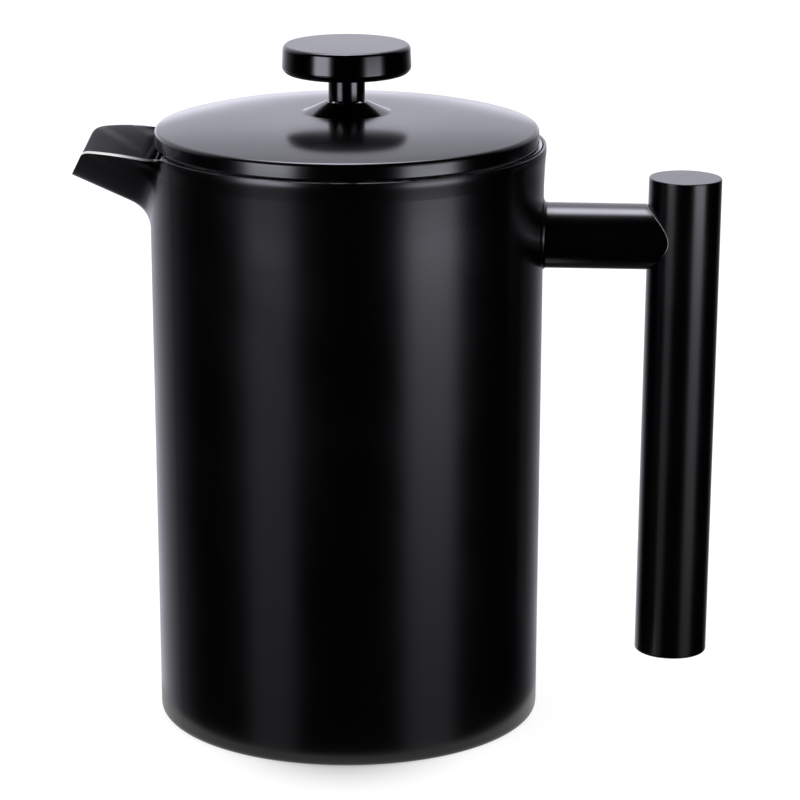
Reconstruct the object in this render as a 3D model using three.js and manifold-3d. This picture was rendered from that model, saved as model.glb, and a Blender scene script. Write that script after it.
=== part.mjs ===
// French press: a double-wall steel pot with a V spout and a bar handle, a lift-off lid, and a plunger whose
// rod slides through the lid. Millimetres, +Z up. The origin is on the pot's axis, on the face it stands on.
// +X points to the handle and -X to the spout.
import * as THREE from "three";
import { mergeVertices } from "three/addons/utils/BufferGeometryUtils.js";
import Module from "manifold-3d";

const wasm = await Module();
wasm.setup();

// ---- Driving dimensions ----
const GAP = 0.3; // clearance between pieces that touch
const SHEET = 0.8; // pressed steel sheet
const ROUND = 48; // sides of a large turned piece
const SMALL_ROUND = 24; // sides of a small turned piece
const PAST = 10; // how far a cutting tool runs on past what it cuts

const POT_TOP_R = 54; // outer radius where the rim's flare starts
const POT_BASE_R = 53.05; // outer radius at the foot: the body tapers slightly
const RIM_Z = 161.5;
const FLARE = 0.8; // how far the rim flares out, over FLARE_HEIGHT
const FLARE_HEIGHT = 13;
const FOOT_FILLET = 2;
const FOOT_RING_R = 46; // inner radius of the shell's turned-in foot
const BASE_PLATE_THICK = 1.2;

const LINER_R = 49.4; // inner radius of the pot
const LINER_FLOOR_Z = 6; // underside of the liner's floor, above the insulating gap
const LINER_FILLET = 5;
const RIM_FLANGE_R = 53.6;
const WEB_R = 57; // how far the liner's lip reaches into the spout

const SPOUT_SHEET = 1.2;
const SPOUT_TIP = { x: -75.46, z: 152.57 }; // lowest point of the mouth, on the keel
const SPOUT_LIP = { x: -70.8, z: 161.95 }; // top corners of the mouth
const SPOUT_KEEL_RISE = 0.455; // height gained per mm outwards
const SPOUT_KEEL_FILLET = 9.6; // between the pot wall and the keel
const SPOUT_KEEL_ROUND = 2.5; // how soft the bottom of the V is
const SPOUT_ROOT_HALF_WIDTH = 22.6; // of the top edge, at the pot wall
const SPOUT_NARROWS = [0.13, 0.0121]; // half-width lost with the distance out, and with its square
const SPOUT_EDGE_DROP = 0.6; // of the top edge below the rim, at the pot wall
const SPOUT_EDGE_LIFTS = [0.17, 0.0063]; // height gained with the distance out, less this part of its square
const SPOUT_SECTIONS = [-77, -74, -71, -68, -65, -62, -59.5, -57.5, -56, -55, -54.3, -50, -45]; // x of each
const SPOUT_ACROSS = [-1, -0.3, -0.12, 0, 0.12, 0.3, 1]; // points of a section, as parts of its half-width

const HANDLE_Z = 136; // where the arm's axis meets the pot wall
const HANDLE_LEAN = THREE.MathUtils.degToRad(0.78); // the arm dips outwards and the grip's foot leans in
const ARM_R = 9.05;
const ARM_WALL = 1.1;
const ARM_REACH = 38.4; // from the pot wall to the grip's axis
const TENON_R = 7.6;
const TENON_LENGTH = 18;
const GRIP_R = 10;
const GRIP_WALL = 1.3;
const GRIP_ABOVE = 16.7; // from the arm's axis up to the grip's top
const GRIP_BELOW = 118.9;
const GRIP_CAP_THICK = 2;
const BACKING = { thick: 1.2, halfAngleDeg: 18, height: 32 };

const LID_R = 52.6;
const LID_EDGE_Z = 165.95; // top of the lid at its edge
const LID_EDGE_FILLET = 1.3;
const LID_RISE = 4.2; // from its edge to the foot of the middle cone
const LID_FALL_POWER = 3; // nearly flat round the cone, then falling off towards the edge
const LID_RINGS = 7;
const CONE_FOOT_R = 12;
const CONE_TOP_R = 5.6;
const CONE_RISE = 3;
const SKIRT_R = 49;
const SKIRT_Z = 146; // lower edge of the lid's skirt
const SKIRT_SLOTS = 7; // pouring slots, on the spout side
const SLOT = { width: 3, height: 8, z: 154, pitchDeg: 7 };

const ROD_R = 3;
const BORE_R = ROD_R + GAP;
const BUSH_R = 4.6;
const BUSH_COLLAR = { r: 7.5, z: 169.6, thick: 1.2 };
const BUSH_BELOW_PAN = 5;
const BUSH_NUT = { cornerR: 7.5, thick: 3.8 };
const PAN_Z = 160.3; // underside of the pan that closes the lid from below
const KNOB_R = 17.7;
const KNOB_TOP_Z = 188.8;
const KNOB_THICK = 7.9;
const KNOB_HIGH_FILLET = 1;
const KNOB_LOW_FILLET = 2;
const KNOB_BORE_DEPTH = 5;
const NECK_R = 5;
const NECK_FILLET = 1;
const FILTER_Z = 14; // underside of the lowest filter plate with the plunger pressed down
const CROSS_PLATE_R = 44.5;
const CROSS_PLATE_THICK = 1.2;
const CROSS_HUB = { r: 6.5, drop: 1.5 };
const MESH_R = 47.6;
const MESH_Z = FILTER_Z + CROSS_PLATE_THICK + GAP;
const MESH_THICK = 0.6;
const SPRING_Z = FILTER_Z + 4; // middle of the edge spring and of the spiral plate
const SPRING_RADIUS = 1.45; // half the thickness of the edge spring's coil
const SPRING_OUTER_R = 49.1;
const SPIRAL_PLATE_THICK = 1;
const NUT = { cornerR: 6.5, thick: 3.7 };
const ROD_HOLE = { x: 0, y: 0, r: BORE_R, sides: SMALL_ROUND };

const BLACK = { color: 0x070708, roughness: 0.4, metalness: 0.1 };
const BRUSHED = { color: 0xb6b7ba, roughness: 0.35, metalness: 1 };
const POLISHED = { color: 0xcfd0d2, roughness: 0.15, metalness: 1 };

// ---- Geometry helpers ----
const at = (r, z) => new THREE.Vector2(r, z);

// Points on a round stretch of an outline: angles in degrees, 0 outwards and 90 up.
function arc(r, z, radius, from, to, steps = 3) {
  return Array.from({ length: steps + 1 }, (_, i) => {
    const a = THREE.MathUtils.degToRad(from + ((to - from) * i) / steps);
    return at(r + radius * Math.cos(a), z + radius * Math.sin(a));
  });
}

// A turned piece about Z. The outline runs outwards along the bottom, up the outside, back down the inside.
function turned(outline, sides = ROUND) {
  const closed = outline[0].x === 0 ? outline : [...outline, outline[0]];
  return new THREE.LatheGeometry(closed, sides).rotateX(Math.PI / 2);
}

function ring(innerR, outerR, bottom, top, sides = ROUND) {
  return turned([at(innerR, bottom), at(outerR, bottom), at(outerR, top), at(innerR, top)], sides);
}

function disc(radius, bottom, top, sides = ROUND) {
  return turned([at(0, bottom), at(radius, bottom), at(radius, top), at(0, top)], sides);
}

function circlePoints(x, y, radius, sides) {
  return Array.from({ length: sides }, (_, i) => {
    const a = (2 * Math.PI * i) / sides;
    return new THREE.Vector2(x + radius * Math.cos(a), y + radius * Math.sin(a));
  });
}

// A flat plate with round holes, from bottom to top.
function plate(radius, holes, bottom, top) {
  const shape = new THREE.Shape(circlePoints(0, 0, radius, ROUND));
  shape.holes = holes.map((hole) => new THREE.Path(circlePoints(hole.x, hole.y, hole.r, hole.sides)));
  const options = { depth: top - bottom, bevelEnabled: false };
  return new THREE.ExtrudeGeometry(shape, options).translate(0, 0, bottom);
}

function holeCircle(count, circleR, holeR, sides, turn = 0) {
  return circlePoints(0, 0, circleR, count).map((centre) => {
    const { x, y } = centre.rotateAround(new THREE.Vector2(), (2 * Math.PI * turn) / count);
    return { x, y, r: holeR, sides };
  });
}

// The same closed surface as a manifold-3d solid, for joining and cutting.
function solid(geometry) {
  const bare = new THREE.BufferGeometry().setAttribute("position", geometry.getAttribute("position"));
  bare.setIndex(geometry.index);
  const merged = mergeVertices(bare, 1e-4);
  const vertProperties = merged.attributes.position.array;
  const triVerts = new Uint32Array(merged.index.array);
  return new wasm.Manifold(new wasm.Mesh({ numProp: 3, vertProperties, triVerts }));
}

function geometryOf(manifold) {
  const mesh = manifold.getMesh();
  const geometry = new THREE.BufferGeometry();
  geometry.setAttribute("position", new THREE.BufferAttribute(mesh.vertProperties, 3));
  geometry.setIndex(new THREE.BufferAttribute(mesh.triVerts, 1));
  geometry.computeVertexNormals();
  return geometry;
}

function cut(geometry, ...tools) {
  return geometryOf(tools.reduce((body, tool) => body.subtract(solid(tool)), solid(geometry)));
}

function joined(...geometries) {
  return geometryOf(geometries.map(solid).reduce((body, other) => body.add(other)));
}

function hexNut(cornerR, boreR, bottom, top) {
  return cut(disc(cornerR, bottom, top, 6), disc(boreR, bottom - PAST, top + PAST, SMALL_ROUND));
}

// A closed solid through convex loops of equal length, with a flat fan at each end.
function loft(loops) {
  const count = loops[0].length;
  const index = [];
  for (let s = 0; s + 1 < loops.length; s++) {
    for (let i = 0; i < count; i++) {
      const a = s * count + i;
      const b = s * count + ((i + 1) % count);
      index.push(a, b, b + count, a, b + count, a + count);
    }
  }
  const last = (loops.length - 1) * count;
  for (let i = 1; i + 1 < count; i++) {
    index.push(0, i + 1, i, last, last + i, last + i + 1);
  }
  return new THREE.BufferGeometry().setFromPoints(loops.flat()).setIndex(index);
}

// ---- Pot ----
function wallR(z) {
  const straightTop = RIM_Z - FLARE_HEIGHT;
  const taper = (POT_TOP_R - POT_BASE_R) * Math.min(1, z / straightTop);
  return POT_BASE_R + taper + FLARE * Math.max(0, (z - straightTop) / FLARE_HEIGHT) ** 2;
}

function wallPoints(offset, heights) {
  return heights.map((z) => at(wallR(z) + offset, z));
}

const FLARE_LEVELS = [0, 0.4, 0.7, 1].map((part) => RIM_Z - FLARE_HEIGHT * (1 - part));

// Everything inside the pot's outer wall, let out by clear, for trimming what is welded onto it.
function potEnvelope(clear) {
  return turned([at(0, 0), ...wallPoints(clear, [0, ...FLARE_LEVELS]), at(0, RIM_Z)]);
}

function outerShell() {
  const filletR = FOOT_FILLET - SHEET;
  const outline = [
    at(FOOT_RING_R, 0),
    ...arc(POT_BASE_R - FOOT_FILLET, FOOT_FILLET, FOOT_FILLET, -90, 0),
    ...wallPoints(0, FLARE_LEVELS),
    ...wallPoints(-SHEET, [...FLARE_LEVELS].reverse()),
    ...arc(POT_BASE_R - FOOT_FILLET, FOOT_FILLET, filletR, 0, -90),
    at(FOOT_RING_R, SHEET),
  ];
  return cut(turned(outline), spoutWedge(SPOUT_SHEET));
}

function innerLiner() {
  const outerR = LINER_R + SHEET;
  const filletZ = LINER_FLOOR_Z + LINER_FILLET + SHEET;
  const outline = [
    at(0, LINER_FLOOR_Z),
    ...arc(LINER_R - LINER_FILLET, filletZ, LINER_FILLET + SHEET, -90, 0),
    at(outerR, RIM_Z - SHEET),
    at(RIM_FLANGE_R, RIM_Z - SHEET),
    at(RIM_FLANGE_R, RIM_Z),
    at(LINER_R, RIM_Z),
    ...arc(LINER_R - LINER_FILLET, filletZ, LINER_FILLET, 0, -90),
    at(0, LINER_FLOOR_Z + SHEET),
  ];
  const webOutside = SPOUT_SHEET + GAP;
  const webReach = ring(LINER_R, WEB_R, RIM_Z / 2, RIM_Z);
  const web = solid(spoutWedge(webOutside)).intersect(solid(webReach));
  const opening = solid(spoutWedge(webOutside + SHEET));
  return geometryOf(solid(turned(outline)).add(web).subtract(opening));
}

// ---- Spout: a V trough whose keel rises outwards ----
// Half-width and height of the top edge at x: it narrows and lifts slightly towards the mouth.
function spoutTopEdge(x) {
  const out = Math.max(0, -POT_TOP_R - x);
  return {
    half: SPOUT_ROOT_HALF_WIDTH - SPOUT_NARROWS[0] * out - SPOUT_NARROWS[1] * out ** 2,
    z: RIM_Z - SPOUT_EDGE_DROP + SPOUT_EDGE_LIFTS[0] * out - SPOUT_EDGE_LIFTS[1] * out ** 2,
  };
}

// The keel: a straight rise with a fillet into the pot wall.
function spoutKeelZ(x) {
  const line = (u) => SPOUT_TIP.z - SPOUT_KEEL_RISE * (u - SPOUT_TIP.x);
  const centreX = -(POT_TOP_R + SPOUT_KEEL_FILLET);
  const slope = Math.hypot(1, SPOUT_KEEL_RISE);
  const centreZ = line(centreX) - SPOUT_KEEL_FILLET * slope;
  const tangentX = centreX + (SPOUT_KEEL_FILLET * SPOUT_KEEL_RISE) / slope;
  if (x < tangentX || x > -POT_TOP_R) return line(x);
  return centreZ + Math.sqrt(SPOUT_KEEL_FILLET ** 2 - (x - centreX) ** 2);
}

// The spout's V filled up to its top edge, moved in by inset on both sides. An inset wedge is a cutting tool
// for the trough's inside, so its sides run on above the top edge.
function spoutWedge(inset) {
  const e = SPOUT_KEEL_ROUND;
  const loops = SPOUT_SECTIONS.map((x) => {
    const edge = spoutTopEdge(x);
    const keelZ = spoutKeelZ(Math.min(x, -POT_TOP_R - GAP));
    const slope = (edge.z - keelZ) / (Math.hypot(edge.half, e) - e);
    const lift = inset * Math.hypot(1, slope);
    const top = inset > 0 ? edge.z + PAST / 2 : edge.z;
    const topY = Math.sqrt(((top - keelZ - lift) / slope + e) ** 2 - e * e);
    const across = SPOUT_ACROSS.map((part) => part * topY);
    return across.map((y) => new THREE.Vector3(x, y, keelZ + lift + slope * (Math.hypot(y, e) - e)));
  });
  return loft(loops);
}

function spout() {
  const leanBack = Math.atan2(SPOUT_LIP.x - SPOUT_TIP.x, SPOUT_LIP.z - SPOUT_TIP.z);
  const beyondMouth = new THREE.BoxGeometry(2 * PAST, 6 * PAST, 6 * PAST)
    .translate(-PAST, 0, 0)
    .rotateY(leanBack)
    .translate(SPOUT_TIP.x, 0, SPOUT_TIP.z);
  return cut(spoutWedge(0), spoutWedge(SPOUT_SHEET), beyondMouth, potEnvelope(GAP));
}

function basePlate() {
  return disc(FOOT_RING_R - GAP, 0, BASE_PLATE_THICK);
}

// ---- Handle ----
// The handle is laid out with its arm along X from the pot wall, then leaned and lifted to its place.
const toHandle = new THREE.Matrix4()
  .makeRotationY(HANDLE_LEAN)
  .premultiply(new THREE.Matrix4().makeTranslation(POT_TOP_R, 0, HANDLE_Z));

function alongArm(radius, from, to) {
  return disc(radius, from, to, 32).rotateY(Math.PI / 2).applyMatrix4(toHandle);
}

function handleTenon() {
  return cut(alongArm(TENON_R, -PAST, TENON_LENGTH), potEnvelope(GAP));
}

function handleArm() {
  const bore = alongArm(ARM_R - ARM_WALL, -2 * PAST, ARM_REACH + PAST);
  const grip = disc(GRIP_R + GAP, -ARM_REACH, ARM_REACH).translate(ARM_REACH, 0, 0).applyMatrix4(toHandle);
  return cut(alongArm(ARM_R, -PAST, ARM_REACH), bore, potEnvelope(GAP), grip);
}

function handleGrip() {
  const tube = ring(GRIP_R - GRIP_WALL, GRIP_R, -GRIP_BELOW, GRIP_ABOVE, 32);
  return tube.translate(ARM_REACH, 0, 0).applyMatrix4(toHandle);
}

function gripCap(bottom) {
  const cap = disc(GRIP_R - GRIP_WALL - GAP, bottom, bottom + GRIP_CAP_THICK, 32);
  return cap.translate(ARM_REACH, 0, 0).applyMatrix4(toHandle);
}

// The curved plate that stiffens the shell behind the handle, in the insulating gap.
function backingPlate() {
  const outer = wallR(HANDLE_Z) - SHEET - 2 * GAP;
  const inner = outer - BACKING.thick;
  const half = THREE.MathUtils.degToRad(BACKING.halfAngleDeg);
  const shape = new THREE.Shape().absarc(0, 0, outer, -half, half).absarc(0, 0, inner, half, -half, true);
  const options = { depth: BACKING.height, bevelEnabled: false, curveSegments: 8 };
  return new THREE.ExtrudeGeometry(shape, options).translate(0, 0, HANDLE_Z - BACKING.height / 2);
}

// ---- Lid ----
function lidTopZ(r) {
  const out = (r - CONE_FOOT_R) / (LID_R - CONE_FOOT_R);
  return LID_EDGE_Z + LID_RISE * (1 - out ** LID_FALL_POWER);
}

function lidCover() {
  const edgeR = LID_R - LID_EDGE_FILLET;
  const filletCentreZ = lidTopZ(edgeR) - LID_EDGE_FILLET;
  const ringStep = (edgeR - CONE_FOOT_R) / LID_RINGS;
  const domeRadii = Array.from({ length: LID_RINGS }, (_, i) => edgeR - ringStep * i);
  const coneTopZ = lidTopZ(CONE_FOOT_R) + CONE_RISE;
  const boreR = BUSH_R + GAP;
  const outline = [
    at(LID_R - SHEET, RIM_Z + GAP),
    at(LID_R, RIM_Z + GAP),
    ...arc(edgeR, filletCentreZ, LID_EDGE_FILLET, 0, 70),
    ...domeRadii.map((r) => at(r, lidTopZ(r))),
    at(CONE_FOOT_R, lidTopZ(CONE_FOOT_R)),
    at(CONE_TOP_R, coneTopZ),
    at(boreR, coneTopZ),
    at(boreR, coneTopZ - SHEET),
    at(CONE_FOOT_R, lidTopZ(CONE_FOOT_R) - SHEET),
    ...domeRadii.toReversed().map((r) => at(r, lidTopZ(r) - SHEET - GAP)),
    at(LID_R - SHEET, filletCentreZ),
  ];
  return turned(outline);
}

function lidPan() {
  return ring(BUSH_R + GAP, SKIRT_R - SHEET - GAP, PAN_Z, PAN_Z + SHEET);
}

function lidSkirt() {
  const slots = Array.from({ length: SKIRT_SLOTS }, (_, i) => {
    const turn = THREE.MathUtils.degToRad(SLOT.pitchDeg) * (i - (SKIRT_SLOTS - 1) / 2);
    return new THREE.BoxGeometry(6, SLOT.width, SLOT.height).translate(-SKIRT_R, 0, SLOT.z).rotateZ(turn);
  });
  return cut(ring(SKIRT_R - SHEET, SKIRT_R, SKIRT_Z, PAN_Z + SHEET), ...slots);
}

// The sleeve that guides the rod: its collar backs the lid's cone and its lower end takes the nut.
function rodBush() {
  const top = lidTopZ(CONE_FOOT_R) + CONE_RISE - GAP;
  const outline = [
    at(BORE_R, PAN_Z - BUSH_BELOW_PAN),
    at(BUSH_R, PAN_Z - BUSH_BELOW_PAN),
    at(BUSH_R, BUSH_COLLAR.z),
    at(BUSH_COLLAR.r, BUSH_COLLAR.z),
    at(BUSH_COLLAR.r, BUSH_COLLAR.z + BUSH_COLLAR.thick),
    at(BUSH_R, BUSH_COLLAR.z + BUSH_COLLAR.thick),
    at(BUSH_R, top),
    at(BORE_R, top),
  ];
  return turned(outline, SMALL_ROUND);
}

function bushNut() {
  return hexNut(BUSH_NUT.cornerR, BUSH_R + GAP, PAN_Z - GAP - BUSH_NUT.thick, PAN_Z - GAP);
}

// ---- Plunger ----
function knob() {
  const bottom = KNOB_TOP_Z - KNOB_THICK;
  const low = KNOB_LOW_FILLET;
  const high = KNOB_HIGH_FILLET;
  const outline = [
    at(0, bottom + KNOB_BORE_DEPTH),
    at(BORE_R, bottom + KNOB_BORE_DEPTH),
    at(BORE_R, bottom),
    ...arc(KNOB_R - low, bottom + low, low, -90, 0),
    ...arc(KNOB_R - high, KNOB_TOP_Z - high, high, 0, 90),
    at(0, KNOB_TOP_Z),
  ];
  return turned(outline);
}

function knobNeck() {
  const bottom = lidTopZ(CONE_FOOT_R) + CONE_RISE + GAP;
  const top = KNOB_TOP_Z - KNOB_THICK - GAP;
  const outline = [
    at(BORE_R, bottom),
    ...arc(NECK_R - NECK_FILLET, bottom + NECK_FILLET, NECK_FILLET, -90, 0),
    at(NECK_R, top),
    at(BORE_R, top),
  ];
  return turned(outline, SMALL_ROUND);
}

function plungerRod() {
  const top = KNOB_TOP_Z - KNOB_THICK + KNOB_BORE_DEPTH - GAP;
  return disc(ROD_R, FILTER_Z - CROSS_HUB.drop, top, SMALL_ROUND);
}

// The lowest filter plate: six large holes, and a hub that takes the rod's threaded end.
function crossPlate() {
  const holes = [ROD_HOLE, ...holeCircle(6, 27, 10, 16)];
  const web = plate(CROSS_PLATE_R, holes, FILTER_Z, FILTER_Z + CROSS_PLATE_THICK);
  const hub = ring(BORE_R, CROSS_HUB.r, FILTER_Z - CROSS_HUB.drop, FILTER_Z + CROSS_PLATE_THICK, SMALL_ROUND);
  return joined(web, hub);
}

function meshScreen() {
  return ring(BORE_R, MESH_R, MESH_Z, MESH_Z + MESH_THICK);
}

function spiralPlate() {
  const holes = [ROD_HOLE, ...holeCircle(6, 18, 3.2, 8), ...holeCircle(12, 34, 3.2, 8, 0.5)];
  const innerR = SPRING_OUTER_R - 2 * SPRING_RADIUS - GAP;
  return plate(innerR, holes, SPRING_Z - SPIRAL_PLATE_THICK / 2, SPRING_Z + SPIRAL_PLATE_THICK / 2);
}

function edgeSpring() {
  const round = arc(SPRING_OUTER_R - SPRING_RADIUS, SPRING_Z, SPRING_RADIUS, -180, 180, 6);
  return turned(round.slice(0, -1));
}

function rodNut() {
  const bottom = SPRING_Z + SPIRAL_PLATE_THICK / 2 + GAP;
  return hexNut(NUT.cornerR, BORE_R, bottom, bottom + NUT.thick);
}

// ---- Assembly ----
const model = new THREE.Group();

function add(name, geometry, colour) {
  const mesh = new THREE.Mesh(geometry, new THREE.MeshStandardMaterial(colour));
  mesh.name = name;
  model.add(mesh);
}

add("outer_shell", outerShell(), BLACK);
add("spout", spout(), BLACK);
add("inner_liner", innerLiner(), BRUSHED);
add("base_plate", basePlate(), BLACK);
add("handle_backing_plate", backingPlate(), BRUSHED);
add("handle_tenon", handleTenon(), BRUSHED);
add("handle_arm", handleArm(), BLACK);
add("handle_grip", handleGrip(), BLACK);
add("grip_cap_top", gripCap(GRIP_ABOVE - GRIP_CAP_THICK), BLACK);
add("grip_cap_bottom", gripCap(-GRIP_BELOW), BLACK);

add("lid_cover", lidCover(), BLACK);
add("lid_pan", lidPan(), BRUSHED);
add("lid_skirt", lidSkirt(), BRUSHED);
add("rod_bush", rodBush(), BRUSHED);
add("bush_nut", bushNut(), BRUSHED);

add("knob", knob(), BLACK);
add("knob_neck", knobNeck(), BLACK);
add("plunger_rod", plungerRod(), POLISHED);
add("rod_nut", rodNut(), POLISHED);
add("spiral_plate", spiralPlate(), BRUSHED);
add("edge_spring", edgeSpring(), POLISHED);
add("mesh_screen", meshScreen(), BRUSHED);
add("cross_plate", crossPlate(), BRUSHED);

export default model;
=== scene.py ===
import math

import bmesh
import bpy
import numpy as np
from mathutils import Matrix, Vector

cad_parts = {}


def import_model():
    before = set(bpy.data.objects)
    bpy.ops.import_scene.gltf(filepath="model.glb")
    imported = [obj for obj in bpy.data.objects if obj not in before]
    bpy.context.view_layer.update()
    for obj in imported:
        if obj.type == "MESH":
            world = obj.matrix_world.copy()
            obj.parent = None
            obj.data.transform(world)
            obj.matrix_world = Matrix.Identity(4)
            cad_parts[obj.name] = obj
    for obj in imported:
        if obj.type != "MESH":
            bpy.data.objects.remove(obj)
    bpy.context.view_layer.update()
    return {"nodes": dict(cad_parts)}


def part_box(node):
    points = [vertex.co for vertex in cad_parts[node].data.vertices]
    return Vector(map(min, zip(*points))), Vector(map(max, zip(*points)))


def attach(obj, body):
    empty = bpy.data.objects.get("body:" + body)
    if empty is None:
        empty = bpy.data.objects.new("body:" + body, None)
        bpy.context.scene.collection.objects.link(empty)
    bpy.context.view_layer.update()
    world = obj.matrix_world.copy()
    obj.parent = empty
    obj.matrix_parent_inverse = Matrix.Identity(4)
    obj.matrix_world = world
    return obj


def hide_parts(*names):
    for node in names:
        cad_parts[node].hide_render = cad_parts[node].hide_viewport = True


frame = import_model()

MM = 0.001

# ---- Sizes, from the frame ----
rim_r, rim_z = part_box("outer_shell")[1].y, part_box("outer_shell")[1].z
spout_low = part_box("spout")[0]
plate_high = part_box("base_plate")[1]
lid_low, lid_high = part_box("lid_cover")
skirt_low, skirt_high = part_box("lid_skirt")
pan_low, pan_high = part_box("lid_pan")
bush_low, bush_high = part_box("rod_bush")
knob_low, knob_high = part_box("knob")
neck_low, neck_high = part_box("knob_neck")
rod_low, rod_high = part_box("plunger_rod")
spring_low, spring_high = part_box("edge_spring")
arm_low, arm_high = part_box("handle_arm")
grip_low, grip_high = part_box("handle_grip")

SKIN = 0.8 * MM  # thickness of the outer shell and the spout
SHEET = 0.8 * MM  # thickness of the liner and the lid
ROD_BORE = 3.25 * MM  # radius of the holes that the rod goes through
LID_BORE = 4.9 * MM  # radius of the holes that the rod's guide goes through
KNOB_BORE = 3.2 * MM
SMALL_EDGE = 0.2 * MM  # fillet of an edge that is only broken


# ---- Small maths ----
def soft_min(a, b, k):
    """The smaller of two values, rounded where they are within k of each other."""
    h = max(k - abs(a - b), 0) / k
    return min(a, b) - h * h * k / 4


def soft_max(a, b, k):
    """The larger of two values, rounded in the same way."""
    return -soft_min(-a, -b, k)


def smooth_step(low, high, x):
    """0 below low, 1 above high, and a smooth rise between them."""
    t = min(max((x - low) / (high - low), 0), 1)
    return t * t * (3 - 2 * t)


def rounded(corners):
    """An outline through corners (r, z, fillet): each corner with a fillet becomes an arc."""
    points = []
    for i, (r, z, fillet) in enumerate(corners):
        here = np.array((r, z))
        if not fillet:
            points.append(here)
            continue
        before = np.array(corners[i - 1][:2]) - here
        after = np.array(corners[(i + 1) % len(corners)][:2]) - here
        before, after = before / np.linalg.norm(before), after / np.linalg.norm(after)
        half = math.acos(np.clip(before @ after, -1, 1)) / 2
        reach = fillet / math.tan(half)
        centre = here + (before + after) / np.linalg.norm(before + after) * fillet / math.sin(half)
        start, end = here + before * reach - centre, here + after * reach - centre
        a, b = math.atan2(start[1], start[0]), math.atan2(end[1], end[0])
        turn = (b - a + math.pi) % (2 * math.pi) - math.pi
        steps = max(3, math.ceil(abs(turn) / math.radians(12)))
        for angle in np.linspace(a, a + turn, steps + 1):
            points.append(centre + fillet * np.array((math.cos(angle), math.sin(angle))))
    return points


def offset(points, distance):
    """An open outline moved sideways, to the left of its direction."""
    p = np.array(points)
    along = np.gradient(p, axis=0)
    along /= np.linalg.norm(along, axis=1)[:, None]
    return p + distance * np.stack((-along[:, 1], along[:, 0]), axis=1)


# ---- Meshes ----
def new_piece(name, verts, faces, material, body, replaces, sharp=30, painted_highlight=()):
    """A piece from verts and faces. The optional per-vert values say how much painted edge highlight each
    vert carries.
    """
    mesh = bpy.data.meshes.new(name)
    mesh.from_pydata([tuple(v) for v in verts], [], faces)
    if painted_highlight:
        mesh.attributes.new("painted_edge_highlight", "FLOAT", "POINT").data.foreach_set("value", painted_highlight)
    return mesh_piece(name, mesh, material, body, replaces, sharp)


def mesh_piece(name, mesh, material, body, replaces, sharp=30):
    bm = bmesh.new()
    bm.from_mesh(mesh)
    bmesh.ops.remove_doubles(bm, verts=bm.verts, dist=1e-7)
    bmesh.ops.dissolve_degenerate(bm, edges=bm.edges, dist=1e-8)
    bmesh.ops.recalc_face_normals(bm, faces=bm.faces)
    bm.to_mesh(mesh)
    bm.free()
    obj = link_object(name, mesh)
    finish_piece(obj, material, body, replaces, sharp)
    return obj


def link_object(name, data):
    obj = bpy.data.objects.new(name, data)
    bpy.context.collection.objects.link(obj)
    return obj


def finish_piece(obj, material, body, replaces, sharp=30):
    """Gives a piece its material and shading, and says what it rides on and what it stands in for. Edges
    steeper than sharp degrees are shaded as sharp."""
    mesh = obj.data
    mesh.materials.clear()
    mesh.materials.append(material)
    mesh.shade_smooth()
    mesh.set_sharp_from_angle(angle=math.radians(sharp))
    weighted = obj.modifiers.new("even_shading", "WEIGHTED_NORMAL")
    weighted.keep_sharp = True
    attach(obj, body)
    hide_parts(*replaces)


def around(columns, angles):
    """Verts and faces of a piece turned about Z, from one outline (r, z) for each angle, in order."""
    rows = len(columns[0])
    verts, faces = [], []
    for column, angle in zip(columns, angles):
        c, s = math.cos(angle), math.sin(angle)
        verts += [(r * c, r * s, z) for r, z in column]
    for i in range(len(angles)):
        a, b = i * rows, (i + 1) % len(angles) * rows
        for j in range(rows):
            k = (j + 1) % rows
            if max(columns[i][j][0], columns[i][k][0]) > 1e-6:
                faces.append((a + j, b + j, b + k, a + k))
    return verts, faces


def lathe(name, corners, material, body, replaces, sides=144):
    """A turned piece. An outline that starts on the axis ends on it; any other closes on itself."""
    outline = rounded(corners)
    angles = np.linspace(0, 2 * math.pi, sides, endpoint=False)
    verts, faces = around([outline] * sides, angles)
    return new_piece(name, verts, faces, material, body, replaces)


# ---- Materials ----
def node_material(name):
    """A new material, with its nodes, links and shader."""
    material = bpy.data.materials.new(name)
    material.use_nodes = True
    nodes, links = material.node_tree.nodes, material.node_tree.links
    return material, nodes, links, nodes["Principled BSDF"]


def texture(nodes, links, kind, vector, **sockets):
    """A texture node at a place, with its other sockets by name."""
    node = nodes.new(kind)
    links.new(vector, node.inputs["Vector"])
    for socket, value in sockets.items():
        node.inputs[socket.replace("_", " ")].default_value = value
    return node


def spread(nodes, links, value, low, high, from_low=0.0, from_high=1.0):
    """A value's range stretched to another."""
    node = nodes.new("ShaderNodeMapRange")
    links.new(value, node.inputs["Value"])
    node.inputs["From Min"].default_value = from_low
    node.inputs["From Max"].default_value = from_high
    node.inputs["To Min"].default_value = low
    node.inputs["To Max"].default_value = high
    return node.outputs["Result"]


def tint(nodes, links, factor, dark, light):
    """A colour between two."""
    node = nodes.new("ShaderNodeMix")
    node.data_type = "RGBA"
    links.new(factor, node.inputs["Factor"])
    node.inputs["A"].default_value = (*dark, 1)
    node.inputs["B"].default_value = (*light, 1)
    return node.outputs["Result"]


def calculate(nodes, links, operation, first, second):
    """One step of arithmetic on a socket and a second socket or number."""
    node = nodes.new("ShaderNodeMath")
    node.operation = operation
    links.new(first, node.inputs[0])
    if isinstance(second, bpy.types.NodeSocket):
        links.new(second, node.inputs[1])
    else:
        node.inputs[1].default_value = second
    return node.outputs["Value"]


def bump(nodes, links, height, shader, distance):
    node = nodes.new("ShaderNodeBump")
    node.inputs["Strength"].default_value = 1.0
    node.inputs["Distance"].default_value = distance
    links.new(height, node.inputs["Height"])
    links.new(node.outputs["Normal"], shader.inputs["Normal"])


BLACK = (0.0003, 0.0003, 0.0004)
DUST = (0.02, 0.02, 0.02)
# Pale colour of bare metal, painted on a few edges as a highlight.
BARE_METAL_HIGHLIGHT = (0.8, 0.8, 0.8)


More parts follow.
